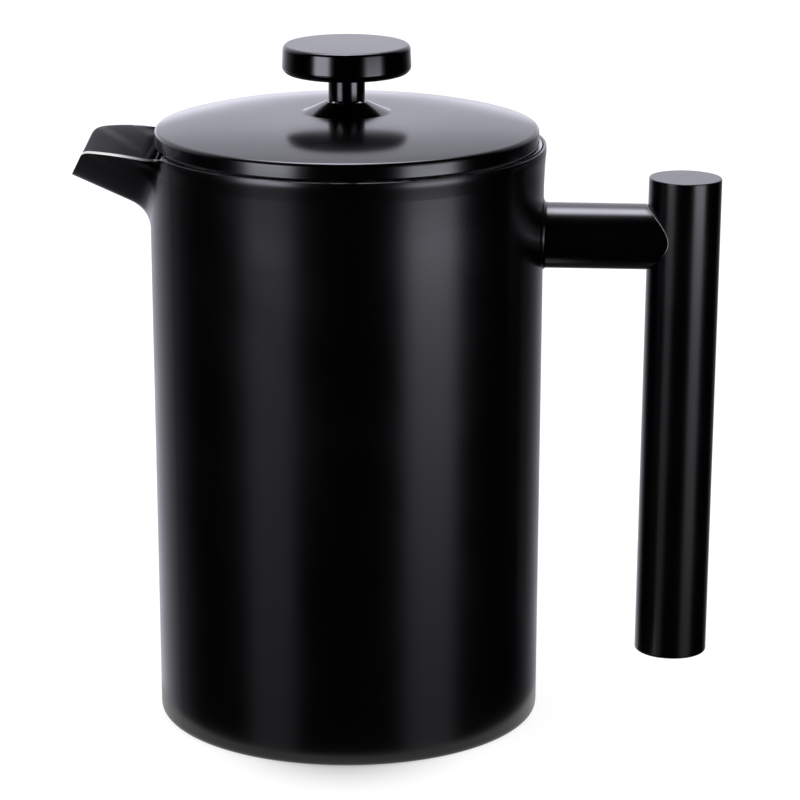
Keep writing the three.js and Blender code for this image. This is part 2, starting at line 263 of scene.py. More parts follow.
def black_coat(name, smoothest, roughest):
    """Satin black baked coating: a fine orange peel, faint cloudiness in its gloss, a few specks of dust.
    Where a piece's edge attribute is above 0, a pale bare-metal colour is painted in as an edge highlight."""
    material, nodes, links, shader = node_material(name)
    place = nodes.new("ShaderNodeTexCoord").outputs["Object"]
    cloud = texture(nodes, links, "ShaderNodeTexNoise", place, Scale=45.0, Detail=3.0)
    peel = texture(nodes, links, "ShaderNodeTexNoise", place, Scale=1400.0, Detail=2.0)
    dust = texture(nodes, links, "ShaderNodeTexVoronoi", place, Scale=90.0, Randomness=1.0)
    speck = spread(nodes, links, dust.outputs["Distance"], 1, 0, 0.0, 0.025)
    coat_colour = tint(nodes, links, speck, BLACK, DUST)
    # Painted highlight: where the piece's edge attribute is above 0, a pale bare-metal colour replaces the
    # black.
    painted_highlight = nodes.new("ShaderNodeAttribute")
    painted_highlight.attribute_name = "painted_edge_highlight"
    colour = nodes.new("ShaderNodeMix")
    colour.data_type = "RGBA"
    links.new(painted_highlight.outputs["Fac"], colour.inputs["Factor"])
    links.new(coat_colour, colour.inputs["A"])
    colour.inputs["B"].default_value = (*BARE_METAL_HIGHLIGHT, 1)
    links.new(colour.outputs["Result"], shader.inputs["Base Color"])
    gloss = spread(nodes, links, cloud.outputs["Fac"], smoothest, roughest, 0.3, 0.7)
    links.new(gloss, shader.inputs["Roughness"])
    bump(nodes, links, peel.outputs["Fac"], shader, 0.003 * MM)
    return material


def turned_steel(name, colour, roughness, scratch):
    """Steel with fine marks running round the pot's axis."""
    material, nodes, links, shader = node_material(name)
    place = nodes.new("ShaderNodeTexCoord").outputs["Object"]
    split = nodes.new("ShaderNodeSeparateXYZ")
    links.new(place, split.inputs["Vector"])
    radius = nodes.new("ShaderNodeVectorMath")
    radius.operation = "LENGTH"
    flat = nodes.new("ShaderNodeCombineXYZ")
    links.new(split.outputs["X"], flat.inputs["X"])
    links.new(split.outputs["Y"], flat.inputs["Y"])
    links.new(flat.outputs["Vector"], radius.inputs[0])
    lines = nodes.new("ShaderNodeCombineXYZ")
    links.new(radius.outputs["Value"], lines.inputs["X"])
    links.new(split.outputs["Z"], lines.inputs["Y"])
    at = lines.outputs["Vector"]
    brushed = texture(nodes, links, "ShaderNodeTexNoise", at, Scale=2600.0, Detail=3.0)
    cloud = texture(nodes, links, "ShaderNodeTexNoise", place, Scale=60.0, Detail=2.0)
    dark = tuple(0.82 * c for c in colour)
    links.new(tint(nodes, links, brushed.outputs["Fac"], dark, colour), shader.inputs["Base Color"])
    shader.inputs["Metallic"].default_value = 1.0
    rough = spread(nodes, links, cloud.outputs["Fac"], roughness * 0.8, roughness * 1.2, 0.3, 0.7)
    links.new(rough, shader.inputs["Roughness"])
    bump(nodes, links, brushed.outputs["Fac"], shader, scratch)
    return material


def woven_mesh():
    """Fine woven wire: two crossing sets of wires with dark gaps between them."""
    material, nodes, links, shader = node_material("woven_mesh")
    place = nodes.new("ShaderNodeTexCoord").outputs["Object"]
    wires = []
    for direction in ("X", "Y"):
        wave = texture(nodes, links, "ShaderNodeTexWave", place, Scale=420.0, Distortion=0.0)
        wave.bands_direction = direction
        wires.append(wave.outputs["Fac"])
    weave = calculate(nodes, links, "MAXIMUM", *wires)
    colour = tint(nodes, links, weave, (0.08, 0.08, 0.08), (0.6, 0.6, 0.61))
    links.new(colour, shader.inputs["Base Color"])
    shader.inputs["Metallic"].default_value = 1.0
    links.new(spread(nodes, links, weave, 0.5, 0.25), shader.inputs["Roughness"])
    bump(nodes, links, weave, shader, 0.08 * MM)
    return material


body_coat = black_coat("body_coat", 0.2, 0.25)
lid_coat = black_coat("lid_coat", 0.16, 0.2)
knob_coat = black_coat("knob_coat", 0.1, 0.14)
liner_steel = turned_steel("liner_steel", (0.5, 0.5, 0.51), 0.16, 0.002 * MM)
filter_steel = turned_steel("filter_steel", (0.6, 0.6, 0.61), 0.2, 0.002 * MM)
bright_steel = turned_steel("bright_steel", (0.66, 0.66, 0.67), 0.12, 0.0003 * MM)
mesh_steel = woven_mesh()


# ---- Pot ----
FLARE, FLARE_HEIGHT = 0.8 * MM, 13 * MM
TAPER = 0.95 * MM
FOOT_FILLET = 2 * MM
FOOT_RING_R = 46 * MM
LINER_R = 49.4 * MM
FLANGE_R = 53.6 * MM
RIM_CLEAR = 0.08 * MM  # how far the rim stays inside its box
body_r = rim_r - FLARE - RIM_CLEAR


def wall_r(z):
    """Outer radius of the pot's wall: a slight taper, and a flare under the rim."""
    straight_top = rim_z - FLARE_HEIGHT
    flare = FLARE * max(0, (z - straight_top) / FLARE_HEIGHT) ** 2
    return body_r - TAPER * max(0, 1 - z / straight_top) + flare


# The spout. Distances out are measured along -X from the pot's wall.
TIP_X, TIP_Z = -spout_low.x, 152.57 * MM
LIP_X, LIP_Z = 70.8 * MM, 161.95 * MM
KEEL_RISE = 0.455
KEEL_ROUND = 2.5 * MM
KEEL_FILLET_REACH, RIM_FILLET_REACH = 6.2 * MM, 1.5 * MM
ROOT_HALF = 22.6 * MM
EDGE_NARROWS = (0.13, 0.0121 / MM)  # of the half-width, per metre out and per metre squared
EDGE_LIFTS = (0.17, 0.0063 / MM)
ROOT_EDGE_DROP = 0.6 * MM


def edge_half(out):
    """Half the spout's width at its top edge."""
    return ROOT_HALF - EDGE_NARROWS[0] * out - EDGE_NARROWS[1] * out * out


def edge_z(out):
    """Height of the spout's top edge."""
    out = max(out, 0)
    return rim_z - ROOT_EDGE_DROP + EDGE_LIFTS[0] * out - EDGE_LIFTS[1] * out * out


def panel_z(turn, r):
    """Height of the spout's outer face at a turn from -X and a radius: a V with a soft, rising keel."""
    x, y = r * math.cos(turn), r * math.sin(turn)
    out = x - body_r
    keel = TIP_Z - KEEL_RISE * (TIP_X - x)
    slope = (edge_z(out) - keel) / (math.hypot(edge_half(out), KEEL_ROUND) - KEEL_ROUND)
    return keel + slope * (math.hypot(y, KEEL_ROUND) - KEEL_ROUND)


def mouth_r(turn):
    """Radius where the spout's outer face meets the slanted plane of the mouth."""
    slant = (TIP_X - LIP_X) / (LIP_Z - TIP_Z)
    r = TIP_X
    for _ in range(12):
        r = (TIP_X - (panel_z(turn, r) - TIP_Z) * slant) / math.cos(turn)
    return r


def edge_r(turn):
    """Radius where the spout's outer face meets its top edge."""
    t = math.tan(abs(turn))
    b, c = EDGE_NARROWS[0] + t, body_r * t - ROOT_HALF
    out = (-b + math.sqrt(b * b - 4 * EDGE_NARROWS[1] * c)) / (2 * EDGE_NARROWS[1])
    return (body_r + out) / math.cos(turn)


def top_edge(turn):
    """(r, z) of the outer skin's top edge: round the mouth, along the spout's edges and round the rim."""
    if abs(turn) > SPOUT_SPREAD:
        return wall_r(rim_z), rim_z
    r = soft_min(mouth_r(turn), edge_r(turn), 2.5 * MM)
    r = soft_max(r, wall_r(rim_z), 3 * MM)
    cap = edge_z(r * math.cos(turn) - body_r)
    cap += (rim_z - cap) * smooth_step(math.radians(22), math.radians(29), abs(turn))
    return r, soft_min(panel_z(turn, r), cap, 0.5 * MM)


SPOUT_SPREAD = math.radians(31)
RIM_ROLL, RIM_ROLL_HEIGHT = 0.3 * MM, 2.5 * MM  # how far the rim turns back in
COLUMN_TURNS = np.radians([*np.arange(-31, 31.01, 0.5), *np.arange(33.5, 326.6, 2.5)])


def from_spout(turn):
    """A turn from -X, brought to between half a turn back and half a turn on."""
    return (turn + math.pi) % (2 * math.pi) - math.pi


def lip_profile():
    """The cut edge of the sheet from its outer to its inner face, as (across, up): flat, with two small
    round corners. Up 0 is half a sheet below the edge."""
    corner = SKIN * 0.22
    profile = []
    for centre, angles in ((corner, (0, 30, 60, 90)), (SKIN - corner, (90, 120, 150, 180))):
        for a in np.radians(angles):
            profile.append((centre - corner * math.cos(a), SKIN / 2 - corner * (1 - math.sin(a))))
    return profile


LIP = lip_profile()
HIGHLIGHT_ROWS = (2, 3, 4, 5)  # the flat of the cut edge, where the highlight is painted


def skin_column(turn):
    """The outer skin's section at a turn from -X: foot, wall, fillet, spout face or rolled rim, lip, and
    back down inside."""
    turn = from_spout(turn)
    end_r, end_z = top_edge(turn)
    root_z = rim_z - 4 * MM
    if abs(turn) < SPOUT_SPREAD:
        root_z = soft_min(panel_z(turn, wall_r(rim_z - 10 * MM)), root_z, 2 * MM)
    root = np.array((wall_r(root_z), root_z))
    end = np.array((end_r, end_z))
    face = (end - root) / np.linalg.norm(end - root)
    end = end - face * SKIN / 2
    to_keel = smooth_step(0, 12 * MM, end_r - rim_r)
    reach = RIM_FILLET_REACH + (KEEL_FILLET_REACH - RIM_FILLET_REACH) * to_keel
    start = np.array((wall_r(root_z - reach), root_z - reach))
    foot = rounded([
        (FOOT_RING_R, 0, 0),
        (wall_r(0), 0, FOOT_FILLET),
        (wall_r(FOOT_FILLET * 2), FOOT_FILLET * 2, 0),
    ])
    wall = [np.array((wall_r(z), z)) for z in np.linspace(FOOT_FILLET * 2, start[1], 26)[1:-1]]
    t = np.linspace(0, 1, 15)[:, None]
    fillet = (1 - t) ** 2 * start + 2 * t * (1 - t) * root + t * t * (root + face * reach)
    panel = np.linspace(root + face * reach, end, 12)[1:]
    outside = np.array([*foot, *wall, *fillet, *panel])
    roll = RIM_ROLL * smooth_step(SPOUT_SPREAD, SPOUT_SPREAD + math.radians(8), abs(turn))
    outside[:, 0] -= roll * np.clip(1 - (rim_z - outside[:, 1]) / RIM_ROLL_HEIGHT, 0, 1) ** 2
    face = (outside[-1] - outside[-2]) / np.linalg.norm(outside[-1] - outside[-2])
    end = outside[-1]
    inside = offset(outside, SKIN)
    inside[0] = (FOOT_RING_R, SKIN)
    side = np.array((-face[1], face[0]))
    return [*outside[:-1], *(end + side * across + face * up for across, up in LIP), *inside[-2::-1]]


def liner_column(turn):
    """The liner's section: floor, wall, and a flange over the rim, which dips to the spout's floor."""
    turn = from_spout(turn)
    floor_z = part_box("inner_liner")[0].z + SHEET
    lift = SKIN + 0.3 * MM + SHEET

    def web_z(r):
        if abs(turn) > SPOUT_SPREAD:
            return rim_z
        rise = (panel_z(turn, r + 1 * MM) - panel_z(turn, r)) / MM
        return soft_min(panel_z(turn, r) + lift * math.hypot(1, rise), rim_z, 0.8 * MM)

    end_r = soft_min(FLANGE_R, top_edge(turn)[0] - SKIN - 0.35 * MM, 1 * MM)
    web = [np.array((r, web_z(r))) for r in np.linspace(LINER_R + 1.2 * MM, end_r, 8)]
    corner = np.array((LINER_R, web_z(LINER_R)))
    start = corner - np.array((0, 1.2 * MM))
    t = np.linspace(0, 1, 8)[:-1, None]
    bend = (1 - t) ** 2 * start + 2 * t * (1 - t) * corner + t * t * web[0]
    floor = rounded([(0, floor_z, 0), (LINER_R, floor_z, 5 * MM), (LINER_R, floor_z + 10 * MM, 0)])
    wall = [np.array((LINER_R, z)) for z in np.linspace(floor_z + 10 * MM, start[1], 22)[1:-1]]
    inside = np.array([*floor, *wall, *bend, *web])
    outside = offset(inside, -SHEET)
    outside[0] = (0, floor_z - SHEET)
    return [*inside, *outside[::-1]]


def turned_about_spout(name, column, material, replaces, painted_highlight=()):
    """A piece of the pot whose outline changes with the turn from the spout."""
    columns = [column(turn) for turn in COLUMN_TURNS]
    verts, faces = around(columns, math.pi + COLUMN_TURNS)
    return new_piece(name, verts, faces, material, "pot", replaces, painted_highlight=painted_highlight)


def painted_edge_highlight():
    """For each point of the skin, how much painted highlight (a pale bare-metal colour) it carries: only
    the flat of the spout's cut edge does.
    """
    rows = len(skin_column(0))
    lip_start = (rows - len(LIP)) // 2
    marks = []
    for turn in COLUMN_TURNS:
        # Painted highlight on the flat of the spout's cut edge, fading out along the spout's sides.
        painted_highlight = 1 - smooth_step(math.radians(17), math.radians(25), abs(from_spout(turn)))
        marks += [painted_highlight if row - lip_start in HIGHLIGHT_ROWS else 0.0 for row in range(rows)]
    return marks


turned_about_spout("pot_skin", skin_column, body_coat, ["outer_shell", "spout"], painted_edge_highlight())
turned_about_spout("liner", liner_column, liner_steel, ["inner_liner"])

PLATE_R = plate_high.x
PLATE_RAISED = 0.5 * MM  # the middle of the foot's plate stands off the table
lathe("foot_plate", [
    (0, PLATE_RAISED, 0),
    (PLATE_R - 9 * MM, PLATE_RAISED, 0.4 * MM),
    (PLATE_R - 8 * MM, 0, 0.4 * MM),
    (PLATE_R, 0, 0.4 * MM),
    (PLATE_R, plate_high.z, SMALL_EDGE),
    (0, plate_high.z, 0),
], body_coat, "pot", ["base_plate"])


# ---- Handle ----
GRIP_R = (grip_high.y - grip_low.y) / 2
ARM_R = (arm_high.y - arm_low.y) / 2
ARM_WALL = 1.1 * MM
WELD = 1.1 * MM
SEAM = 0.12 * MM  # gap between the arm and the grip
grip_centre = (grip_low + grip_high) / 2
lean = (grip_high.x - grip_low.x - 2 * GRIP_R) / (grip_high.z - grip_low.z)
grip_length = (grip_high.z - grip_low.z - 2 * GRIP_R * math.sin(lean)) / math.cos(lean)


def grip():
    edge = 0.35 * MM
    half = grip_length / 2
    obj = lathe("grip", [
        (0, -half, 0),
        (GRIP_R, -half, edge * 2),
        (GRIP_R, half, edge),
        (0, half, 0),
    ], body_coat, "pot", ["handle_grip", "grip_cap_top", "grip_cap_bottom"], sides=96)
    obj.data.transform(Matrix.Translation(grip_centre) @ Matrix.Rotation(lean, 4, "Y"))


def arm():
    """The bar between pot and grip: each end is cut to the round surface it meets. The pot's end has a weld
    fillet, and the grip's end a broken edge with a painted highlight, a pale bare-metal colour, along its
    upper half."""
    along = Vector((math.cos(lean), 0, -math.sin(lean)))
    up = Vector((math.sin(lean), 0, math.cos(lean)))
    axis_start = Vector((body_r, 0, arm_high.z - ARM_R))
    to_grip = (grip_centre - axis_start).dot(along)
    break_edge = 0.45 * MM
    bore = ARM_R - ARM_WALL
    verts, faces, painted_highlight = [], [], []
    sides = 96
    for i in range(sides):
        a = 2 * math.pi * i / sides

        def pot_end(radius):
            wall = wall_r(axis_start.z + radius * math.sin(a))
            return math.sqrt(wall ** 2 - (radius * math.cos(a)) ** 2) - body_r

        def grip_end(radius):
            return to_grip - math.sqrt(GRIP_R ** 2 - (radius * math.cos(a)) ** 2) - SEAM

        ring = [
            (radius, pot_end(radius) + WELD * (1 - math.cos(k)))
            for k in np.linspace(0, math.pi / 2, 8)
            for radius in [ARM_R + WELD * (1 - math.sin(k))]
        ]
        start, end = ring[-1][1], grip_end(ARM_R)
        ring += [(ARM_R, x) for x in np.linspace(start, end - break_edge, 8)[1:-1]]
        for k in np.linspace(math.pi / 2, 0, 5):
            radius = ARM_R - break_edge * (1 - math.sin(k))
            ring.append((radius, grip_end(radius) - break_edge * (1 - math.cos(k))))
        ring += [(bore, grip_end(bore)), (bore, pot_end(bore))]
        # Painted highlight along the upper half of the grip end's broken edge, in a pale bare-metal colour.
        highlit_side = smooth_step(-0.5, -0.1, math.sin(a))
        painted_highlight += [highlit_side if bore < radius < ARM_R and x > end - break_edge else 0.0 for radius, x in ring]
        side = Vector((0, math.cos(a), 0)) + up * math.sin(a)
        verts += [axis_start + along * x + side * radius for radius, x in ring]
    rows = len(verts) // sides
    for i in range(sides):
        p, q = i * rows, (i + 1) % sides * rows
        faces += [(p + j, q + j, q + (j + 1) % rows, p + (j + 1) % rows) for j in range(rows)]
    new_piece("arm", verts, faces, body_coat, "pot", ["handle_arm"], painted_highlight=painted_highlight)


grip()
arm()


# ---- Lid ----
LID_R = lid_high.y
LID_EDGE_Z = 165.95 * MM
LID_RISE = 4.2 * MM  # from its edge to the foot of the middle cone
LID_FALL_POWER = 3
CONE_FOOT_R = 12 * MM
CONE_TOP_R = 5.6 * MM
CONE_TOP_Z = lid_high.z
BAND_DRAFT = 0.12 * MM  # how far the lid's band leans in at its top


def slope_z(r):
    """Height of the lid's top: nearly flat round the cone, then falling off towards the edge."""
    out = (r - CONE_FOOT_R) / (LID_R - CONE_FOOT_R)
    return LID_EDGE_Z + LID_RISE * (1 - out ** LID_FALL_POWER)


def lid_cover():
    dome_radii = np.linspace(LID_R - 3 * MM, CONE_FOOT_R + 4 * MM, 24)
    dome = [(r, slope_z(r), 0) for r in dome_radii]
    under = [(r, z - SHEET, 0) for r, z, _ in reversed(dome)]
    lathe("lid_top", [
        (LID_R - SHEET, lid_low.z, SMALL_EDGE),
        (LID_R, lid_low.z, 0.3 * MM),
        (LID_R - BAND_DRAFT, LID_EDGE_Z, 1.4 * MM),
        *dome,
        (CONE_FOOT_R, slope_z(CONE_FOOT_R), 2.5 * MM),
        (CONE_TOP_R, CONE_TOP_Z, 0.15 * MM),
        (LID_BORE, CONE_TOP_Z, 0),
        (LID_BORE, CONE_TOP_Z - SHEET, 0),
        (CONE_FOOT_R, slope_z(CONE_FOOT_R) - SHEET, 0),
        *under,
        (LID_R - SHEET, LID_EDGE_Z - SHEET, 0.5 * MM),
    ], lid_coat, "lid", ["lid_cover"], sides=180)


def lid_pan():
    outer = pan_high.x
    lathe("lid_floor", [
        (LID_BORE, pan_low.z, SMALL_EDGE),
        (outer - 3 * MM, pan_low.z, 1.0 * MM),
        (outer, pan_low.z + 0.1 * MM, SMALL_EDGE),
        (outer, pan_high.z, SMALL_EDGE),
        (LID_BORE, pan_high.z, SMALL_EDGE),
    ], liner_steel, "lid", ["lid_pan"])


SLOTS, SLOT_PITCH, SLOT_WIDTH = 7, 7.0, 3.5  # the pouring slots: how many, and degrees round the skirt
SLOT_LOW, SLOT_HIGH = 150 * MM, 158 * MM


def lid_skirt():
    """The ring under the lid, with a row of pouring slots on the spout's side."""
    centres = [180 + SLOT_PITCH * (i - (SLOTS - 1) / 2) for i in range(SLOTS)]
    slot_edges = [c + side * SLOT_WIDTH / 2 for c in centres for side in (-1, 0, 1)]
    degrees = sorted({round(d, 3) for d in [*np.arange(0, 360, 2.5), *slot_edges]})
    heights = [skirt_low.z, SLOT_LOW, SLOT_HIGH, skirt_high.z]
    bm = bmesh.new()
    grid = []
    for angle in np.radians(degrees):
        x, y = skirt_high.y * math.cos(angle), skirt_high.y * math.sin(angle)
        grid.append([bm.verts.new((x, y, z)) for z in heights])
    for i, (here, start) in enumerate(zip(grid, degrees)):
        end = degrees[i + 1] if i + 1 < len(degrees) else 360
        following = grid[(i + 1) % len(grid)]
        in_slot = any(abs((start + end) / 2 - c) < SLOT_WIDTH / 2 for c in centres)
        for j, height in enumerate(heights[:-1]):
            if not (in_slot and height == SLOT_LOW):
                bm.faces.new((here[j], following[j], following[j + 1], here[j + 1]))
    mesh = bpy.data.meshes.new("skirt_ring")
    bm.to_mesh(mesh)
    bm.free()
    obj = link_object("skirt_ring", mesh)
    wall = obj.modifiers.new("wall", "SOLIDIFY")
    wall.thickness, wall.offset = SHEET, -1
    edges = obj.modifiers.new("edges", "BEVEL")
    edges.width, edges.segments, edges.limit_method = SMALL_EDGE, 2, "ANGLE"
    finish_piece(obj, liner_steel, "lid", ["lid_skirt"])


def hex_nut(name, low, high, bore, body, replaces):
    """A hexagon nut with chamfered corners."""
    corner_r = (high.y - low.y) / 2
    flat_r = corner_r * math.cos(math.pi / 6)
    chamfer_r = flat_r - 0.2 * MM
    lead_in = 0.4 * MM
    columns = []
    angles = np.radians(np.arange(0, 360, 3))
    for angle in angles:
        r = flat_r / math.cos((angle + math.pi / 2) % (math.pi / 3) - math.pi / 6)
        drop = (r - chamfer_r) * math.tan(math.pi / 6)
        columns.append([
            (bore, low.z + lead_in), (bore + lead_in, low.z), (chamfer_r, low.z), (r, low.z + drop),
            (r, high.z - drop), (chamfer_r, high.z), (bore + lead_in, high.z), (bore, high.z - lead_in),
        ])
    verts, faces = around(columns, angles)
    new_piece(name, verts, faces, bright_steel, body, replaces)


def rod_bush():
    """The guide: a sleeve with a collar that sits under the lid's cone."""
    collar_low, collar_high = 169.6 * MM, 170.8 * MM
    top = CONE_TOP_Z - 0.5 * MM
    sleeve = 4.6 * MM
    lathe("rod_guide", [
        (ROD_BORE, bush_low.z, 0.3 * MM),
        (sleeve, bush_low.z, 0.4 * MM),
        (sleeve, collar_low, 0),
        (bush_high.y, collar_low, SMALL_EDGE),
        (bush_high.y, collar_high, SMALL_EDGE),
        (sleeve, collar_high, 0),
        (sleeve, top, 0.3 * MM),
        (ROD_BORE, top, 0.3 * MM),
    ], bright_steel, "lid_bush", ["rod_bush"], sides=72)


lid_cover()
lid_pan()
lid_skirt()
rod_bush()
hex_nut("guide_nut", *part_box("bush_nut"), LID_BORE, "lid", ["bush_nut"])


# ---- Plunger ----
def knob():
    draft = 0.35 * MM
    bore_end = rod_high.z + 0.3 * MM
    lathe("press_knob", [
        (0, bore_end, 0),
        (KNOB_BORE, bore_end, 0),
        (KNOB_BORE, knob_low.z, 0),
        (knob_high.y, knob_low.z, 2.0 * MM),
        (knob_high.y - draft, knob_high.z, 1.1 * MM),
        (0, knob_high.z, 0),
    ], knob_coat, "plunger", ["knob"])


def neck():
    lathe("knob_sleeve", [
        (KNOB_BORE, neck_low.z, SMALL_EDGE),
        (neck_high.y, neck_low.z, 0.4 * MM),
        (neck_high.y, neck_high.z, SMALL_EDGE),
        (KNOB_BORE, neck_high.z, SMALL_EDGE),
    ], knob_coat, "plunger_neck", ["knob_neck"], sides=96)


def rod():
    lathe("press_rod", [
        (0, rod_low.z, 0),
        (rod_high.y, rod_low.z, 0.6 * MM),
        (rod_high.y, rod_high.z, 0.6 * MM),
        (0, rod_high.z, 0),
    ], bright_steel, "plunger", ["plunger_rod"], sides=48)


def flat_plate(radius, holes, low, high, edge):
    """Mesh of a round plate with round holes (x, y, r) and broken edges, made from filled curves."""
    curve = bpy.data.curves.new("plate", "CURVE")
    curve.dimensions, curve.fill_mode = "2D", "BOTH"
    curve.extrude = (high - low) / 2 - edge
    curve.bevel_depth, curve.bevel_resolution = edge, 2
    circles = [(0, 0, radius - edge), *((x, y, r + edge) for x, y, r in holes)]
    for x, y, r in circles:
        points = max(20, int(r / MM * 4))
        spline = curve.splines.new("POLY")
        spline.points.add(points - 1)
        for i, point in enumerate(spline.points):
            a = 2 * math.pi * i / points
            point.co = (x + r * math.cos(a), y + r * math.sin(a), 0, 1)
        spline.use_cyclic_u = True
    holder = link_object("plate", curve)
    depsgraph = bpy.context.evaluated_depsgraph_get()
    mesh = bpy.data.meshes.new_from_object(holder.evaluated_get(depsgraph))
    bpy.data.objects.remove(holder)
    mesh.transform(Matrix.Translation((0, 0, (low + high) / 2)))
    return mesh


def hole_circle(count, circle_r, hole_r, turn=0.0):
    """Evenly spaced holes, turned by a part of their spacing."""
    angles = [2 * math.pi * (i + turn) / count for i in range(count)]
    return [(circle_r * math.cos(a), circle_r * math.sin(a), hole_r) for a in angles]


def plate_piece(name, node, holes, thick, edge):
    """A flat filter plate at the top of its node's box, with the rod's hole and others."""
    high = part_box(node)[1]
    mesh = flat_plate(high.y, [(0, 0, ROD_BORE), *holes], high.z - thick, high.z, edge)
    mesh.name = name
    mesh_piece(name, mesh, filter_steel, "plunger", [node])


def filter_plates():
    small_holes = [*hole_circle(6, 18 * MM, 3.2 * MM), *hole_circle(12, 34 * MM, 3.2 * MM, 0.5)]
    low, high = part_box("spiral_plate")
    plate_piece("spring_plate", "spiral_plate", small_holes, high.z - low.z, 0.2 * MM)
    plate_piece("lower_plate", "cross_plate", hole_circle(6, 27 * MM, 10 * MM), 1.2 * MM, 0.25 * MM)
    low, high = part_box("mesh_screen")
    lathe("wire_mesh", [
        (ROD_BORE, low.z, 0),
        (high.y, low.z, SMALL_EDGE),
        (high.y, high.z, SMALL_EDGE),
        (ROD_BORE, high.z, 0),
    ], mesh_steel, "plunger", ["mesh_screen"])


def edge_spring():
    """A close coil of wire bent into a ring round the spiral plate."""
    turns, steps, sides = 130, 12, 6
    wire = 0.45 * MM
    coil_r = (spring_high.z - spring_low.z) / 2 - wire
    ring_r = spring_high.y - coil_r - wire
    middle_z = (spring_low.z + spring_high.z) / 2
    count = turns * steps
    path = []
    for i in range(count):
        a, c = 2 * math.pi * i / count, 2 * math.pi * i / steps
        r = ring_r + coil_r * math.cos(c)
        path.append(np.array((r * math.cos(a), r * math.sin(a), middle_z + coil_r * math.sin(c))))
    verts, faces = [], []
    for i, here in enumerate(path):
        a = 2 * math.pi * i / count
        along = path[(i + 1) % count] - path[i - 1]
        along /= np.linalg.norm(along)
        centre = np.array((ring_r * math.cos(a), ring_r * math.sin(a), middle_z))
        out = here - centre
        out -= along * (out @ along)
        out /= np.linalg.norm(out)
        side = np.cross(along, out)
        for s in range(sides):
            b = 2 * math.pi * s / sides
            verts.append(here + wire * (math.cos(b) * out + math.sin(b) * side))
    for i in range(count):
        p, q = i * sides, (i + 1) % count * sides
        faces += [(p + s, p + (s + 1) % sides, q + (s + 1) % sides, q + s) for s in range(sides)]
    new_piece("spring_coil", verts, faces, bright_steel, "plunger", ["edge_spring"],
              sharp=80)


knob()
neck()
rod()
filter_plates()
edge_spring()
hex_nut("clamp_nut", *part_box("rod_nut"), ROD_BORE, "plunger", ["rod_nut"])

for node in ("handle_tenon", "handle_backing_plate"):
    frame["nodes"][node].data.materials.clear()
    frame["nodes"][node].data.materials.append(liner_steel)


# ---- Studio ----
# The softboxes, the card under the foot and the backdrop are only seen in reflections. Their brightnesses
# are set to the highlights in the photo.
STUDIO_TINT = (0.88, 0.88, 1.0)  # the lights are slightly cool
SOFTBOX_DISTANCE, SOFTBOX_LOW, SOFTBOX_HIGH = 0.6, -0.3, 0.4
SOFTBOX_ACROSS = [(0, 0), (0.1, 0.05), (0.32, 1), (0.68, 1), (0.9, 0.05), (1, 0)]
LEFT_LEVELS = [
    (-0.3, 0.2), (-0.15, 0.4), (-0.06, 0.55), (0.02, 0.1), (0.05, 0.2), (0.08, 7.8), (0.2, 7.5), (0.4, 3.0),
]
RIGHT_LEVELS = [
    (-0.3, 0.25), (-0.15, 0.5), (-0.06, 1.05), (0.01, 1.5), (0.065, 8.0), (0.1, 5.0), (0.15, 1.6),
    (0.4, 1.3),
]
BACKDROP_TURN = 12  # degrees from +Y towards -X
BACKDROP_LEVELS = [
    (-1, 0.05), (-0.7, 0.1), (-0.5, 0.5), (-0.36, 1.2), (-0.2, 0.9), (-0.1, 1.35), (0.04, 1.9), (0.12, 1.4),
    (0.17, 1.0), (0.22, 1.25), (0.3, 1.35), (0.4, 1.35), (0.5, 1.5), (0.6, 1.7), (0.7, 1.7), (0.8, 2.0),
    (0.88, 8.0), (0.95, 15.0), (1, 15.0),
]
FADE_LOW, FADE_HIGH = 4.6, 1.2  # how fast the backdrop fades to its sides, near the table and higher up
TABLE_BRIGHT, TABLE_SHADE = 0.82, 0.4  # the table's glow, far from the foot and in its painted shadow
SHADE_NEAR, SHADE_FAR = 27 * MM, 56 * MM
SHADE_FORWARD, SHADE_SQUASH = 25 * MM, 1.35  # the painted shadow lies in front of the foot, and is narrow
CARD_R, CARD_DROP, CARD_BRIGHT = 62 * MM, 0.2 * MM, 0.7


def light_ramp(nodes, links, value, stops):
    """The studio light's colour at a smooth series of stops (position, level)."""
    node = nodes.new("ShaderNodeValToRGB")
    node.color_ramp.interpolation = "EASE"
    elements = node.color_ramp.elements
    while len(elements) < len(stops):
        elements.new(1.0)
    for element, (position, _) in zip(elements, stops):
        element.position = position
    for element, (_, level) in zip(elements, stops):
        element.color = (*(level * channel for channel in STUDIO_TINT), 1)
    links.new(value, node.inputs["Fac"])
    return node.outputs["Color"]


def glow_card(card, name):
    """Makes a card glow, and shows it in reflections only. Returns its nodes, links and glow."""
    card.name = name
    material = bpy.data.materials.new(name)
    material.use_nodes = True
    nodes, links = material.node_tree.nodes, material.node_tree.links
    nodes.clear()
    glow = nodes.new("ShaderNodeEmission")
    output = nodes.new("ShaderNodeOutputMaterial")
    links.new(glow.outputs["Emission"], output.inputs["Surface"])
    card.data.materials.append(material)
    card.visible_camera = False
    card.visible_diffuse = False
    return nodes, links, glow


